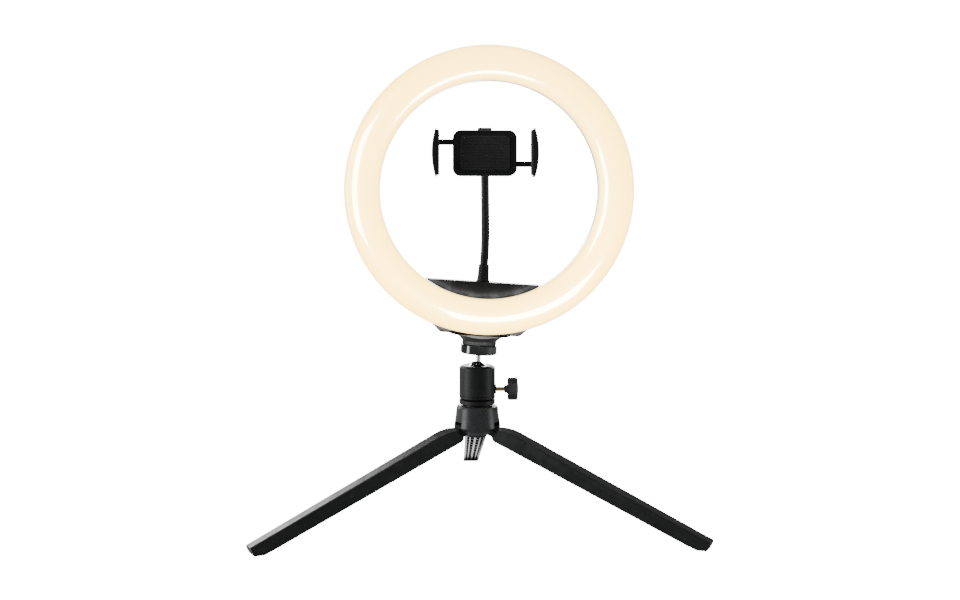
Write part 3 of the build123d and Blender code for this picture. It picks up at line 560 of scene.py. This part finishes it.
# ---------------------------------------------------------------- studio
def lit_only(light, pieces):
    """Keep a light, or a glowing piece, for these pieces: the others neither receive nor mirror it."""
    group = bpy.data.collections.new(light.name + "_receivers")
    for piece in pieces:
        group.objects.link(piece)
    light.light_linking.receiver_collection = group


def area_light(name, place, aim, size, power, roll=0.0):
    """Rectangular light, size in metres and power in watts, turned by roll about its own direction."""
    data = bpy.data.lights.new(name, "AREA")
    data.shape = "RECTANGLE"
    data.size, data.size_y = size
    data.energy = power
    light = bpy.data.objects.new(name, data)
    light.location = place
    light.visible_camera = False
    facing = (Vector(aim) - Vector(place)).to_track_quat("-Z", "Y")
    light.rotation_euler = (facing @ Quaternion((0, 0, 1), roll)).to_euler()
    bpy.context.scene.collection.objects.link(light)
    return light


def seen_and_unseen(tree, seen, unseen):
    """A backdrop is bright where the camera looks at it directly, and dimmer as a source of light."""
    path = tree.nodes.new("ShaderNodeLightPath")
    mix = tree.nodes.new("ShaderNodeMixShader")
    tree.links.new(path.outputs["Is Camera Ray"], mix.inputs["Fac"])
    tree.links.new(unseen, mix.inputs[1])
    tree.links.new(seen, mix.inputs[2])
    return mix.outputs["Shader"]


def build_backdrop():
    """A pale floor and sky, both plain white behind the object."""
    white = (0.97, 0.98, 1.0, 1)
    half = 6.0
    mesh = bpy.data.meshes.new("floor")
    mesh.from_pydata([(-half, -half, 0), (half, -half, 0), (half, half, 0), (-half, half, 0)], [],
                     [(0, 1, 2, 3)])
    floor = bpy.data.objects.new("floor", mesh)
    shader = Shader("floor_pale", (0.45, 0.46, 0.47), 0.7)
    shader.set("Roughness", shader.range(shader.noise(3.0), 0.62, 0.75))
    glow = shader.add("ShaderNodeEmission")
    glow.inputs["Color"].default_value = white
    glow.inputs["Strength"].default_value = BACKDROP
    both = shader.add("ShaderNodeAddShader")
    shader.link(glow.outputs["Emission"], both.inputs[0])
    shader.link(shader.main.outputs["BSDF"], both.inputs[1])
    shown = seen_and_unseen(shader.tree, both.outputs["Shader"], shader.main.outputs["BSDF"])
    shader.link(shown, shader.tree.nodes["Material Output"].inputs["Surface"])
    mesh.materials.append(shader.material)
    bpy.context.scene.collection.objects.link(floor)

    world = bpy.data.worlds.new("studio")
    world.use_nodes = True
    tree = world.node_tree
    dim = tree.nodes["Background"]
    dim.inputs["Color"].default_value = (0.95, 0.96, 0.98, 1)
    dim.inputs["Strength"].default_value = DIM_SKY
    bright = tree.nodes.new("ShaderNodeBackground")
    bright.inputs["Color"].default_value = white
    bright.inputs["Strength"].default_value = BACKDROP
    shown = seen_and_unseen(tree, bright.outputs["Background"], dim.outputs["Background"])
    tree.links.new(shown, tree.nodes["World Output"].inputs["Surface"])
    bpy.context.scene.world = world


def build_lights():
    """Softboxes for the whole object, and lights that are kept to the pieces they are for."""
    low_centre = Vector((0, STAND.y, 0.1))
    for name, offset, size, power in (("left_softbox", (-1.15, -0.35, 0.25), (0.35, 0.9), 16),
                                      ("right_softbox", (1.2, -0.25, 0.3), (0.3, 0.8), 7),
                                      ("top_softbox", (-0.1, 0.1, 1.4), (1.0, 0.7), 8),
                                      ("back_left_softbox", (-0.93, 1.0, 0.63), (0.8, 0.6), 15)):
        area_light(name, low_centre + Vector(offset), low_centre, size, power)

    back_fill = area_light("back_fill", RING + Vector((0.35, 1.5, 0.25)), RING, (0.9, 0.7), 30)
    lit_only(back_fill, [piece for name, piece in NODES.items() if not name.startswith("leg_")])

    # the two that draw the bright arcs on the diffuser
    diffuser = NODES["diffuser"]
    for name, offset, size, power in (("left_strip", (-0.80, -1.28, 0.10), (0.50, 0.80), 170),
                                      ("low_strip", (0.10, -0.45, -0.21), (0.32, 0.15), 24)):
        lit_only(area_light(name, RING + Vector(offset), RING, size, power), [diffuser])

    # the back leg's ribs, seen from below
    below_leg = STAND + Vector((0, 0.145, 0.003))
    straight_up = below_leg + Vector((0, 0, 1))
    under_leg = area_light("under_back_leg", below_leg, straight_up, (0.018, 0.08), 0.02)
    lit_only(under_leg, [NODES["leg_back"]])


def build_ring_spill():
    """The lit ring brightens only its own board, and dim lights along its edges stand for its spill."""
    lit_only(NODES["diffuser"], [NODES["led_board"], NODES["led_chips"]])
    near_ring = [NODES[name] for name in ("bracket", "ring_housing", "platform")]

    def below_ring(radius, degrees, y):
        """A place on a circle about the ring's middle, counted from its lowest point."""
        angle = radians(degrees)
        return on_head(radius * sin(angle), y, RING_HEIGHT - radius * cos(angle))

    inner, outer = 96.4, 132.5                  # circles just inside and outside the ring, mm
    inward, outward, deeper = 3.2, 5, 5         # how far the lights' aim is from them, mm
    between, over_neck = -7, -27                # y behind the diffuser, and y in front of the neck
    size = (0.028, 0.003)                       # along and across the ring's edge, m
    spills = [(f"crescent_{step + 3}", inner, 13 * step, between, 0.0015) for step in range(-2, 3)]
    spills += [("left_lobe", outer, -18, between, 0.004), ("right_lobe", outer, 18, between, 0.004),
               ("neck_left", outer, -6, over_neck, 0.010), ("neck_right", outer, 6, over_neck, 0.010)]
    for name, radius, degrees, y, power in spills:
        aim_radius = radius - inward if radius == inner else radius + outward
        aim = below_ring(aim_radius, degrees, y + deeper)
        glow = area_light(f"spill_{name}", below_ring(radius, degrees, y), aim, size, power, radians(degrees))
        lit_only(glow, near_ring)
        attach(glow, "light_head")


def build_camera():
    """Level, a little to the left, and shifted down to take in the stand."""
    distance, height, around = 0.95, 0.272, radians(2.0)
    data = bpy.data.cameras.new("camera")
    data.sensor_width = 36.0
    data.lens = 39.19
    data.shift_x = 0.0029
    data.shift_y = -0.0885
    camera = bpy.data.objects.new("camera", data)
    camera.location = STAND + Vector((-distance * sin(around), -distance * cos(around), height))
    camera.rotation_euler = (radians(90), 0, -around)
    bpy.context.scene.collection.objects.link(camera)
    bpy.context.scene.camera = camera


build_camera()
dress_nodes()
build_gooseneck()
build_spring()
build_boots()
build_shoes()
build_pads()
build_backdrop()
build_lights()
build_ring_spill()
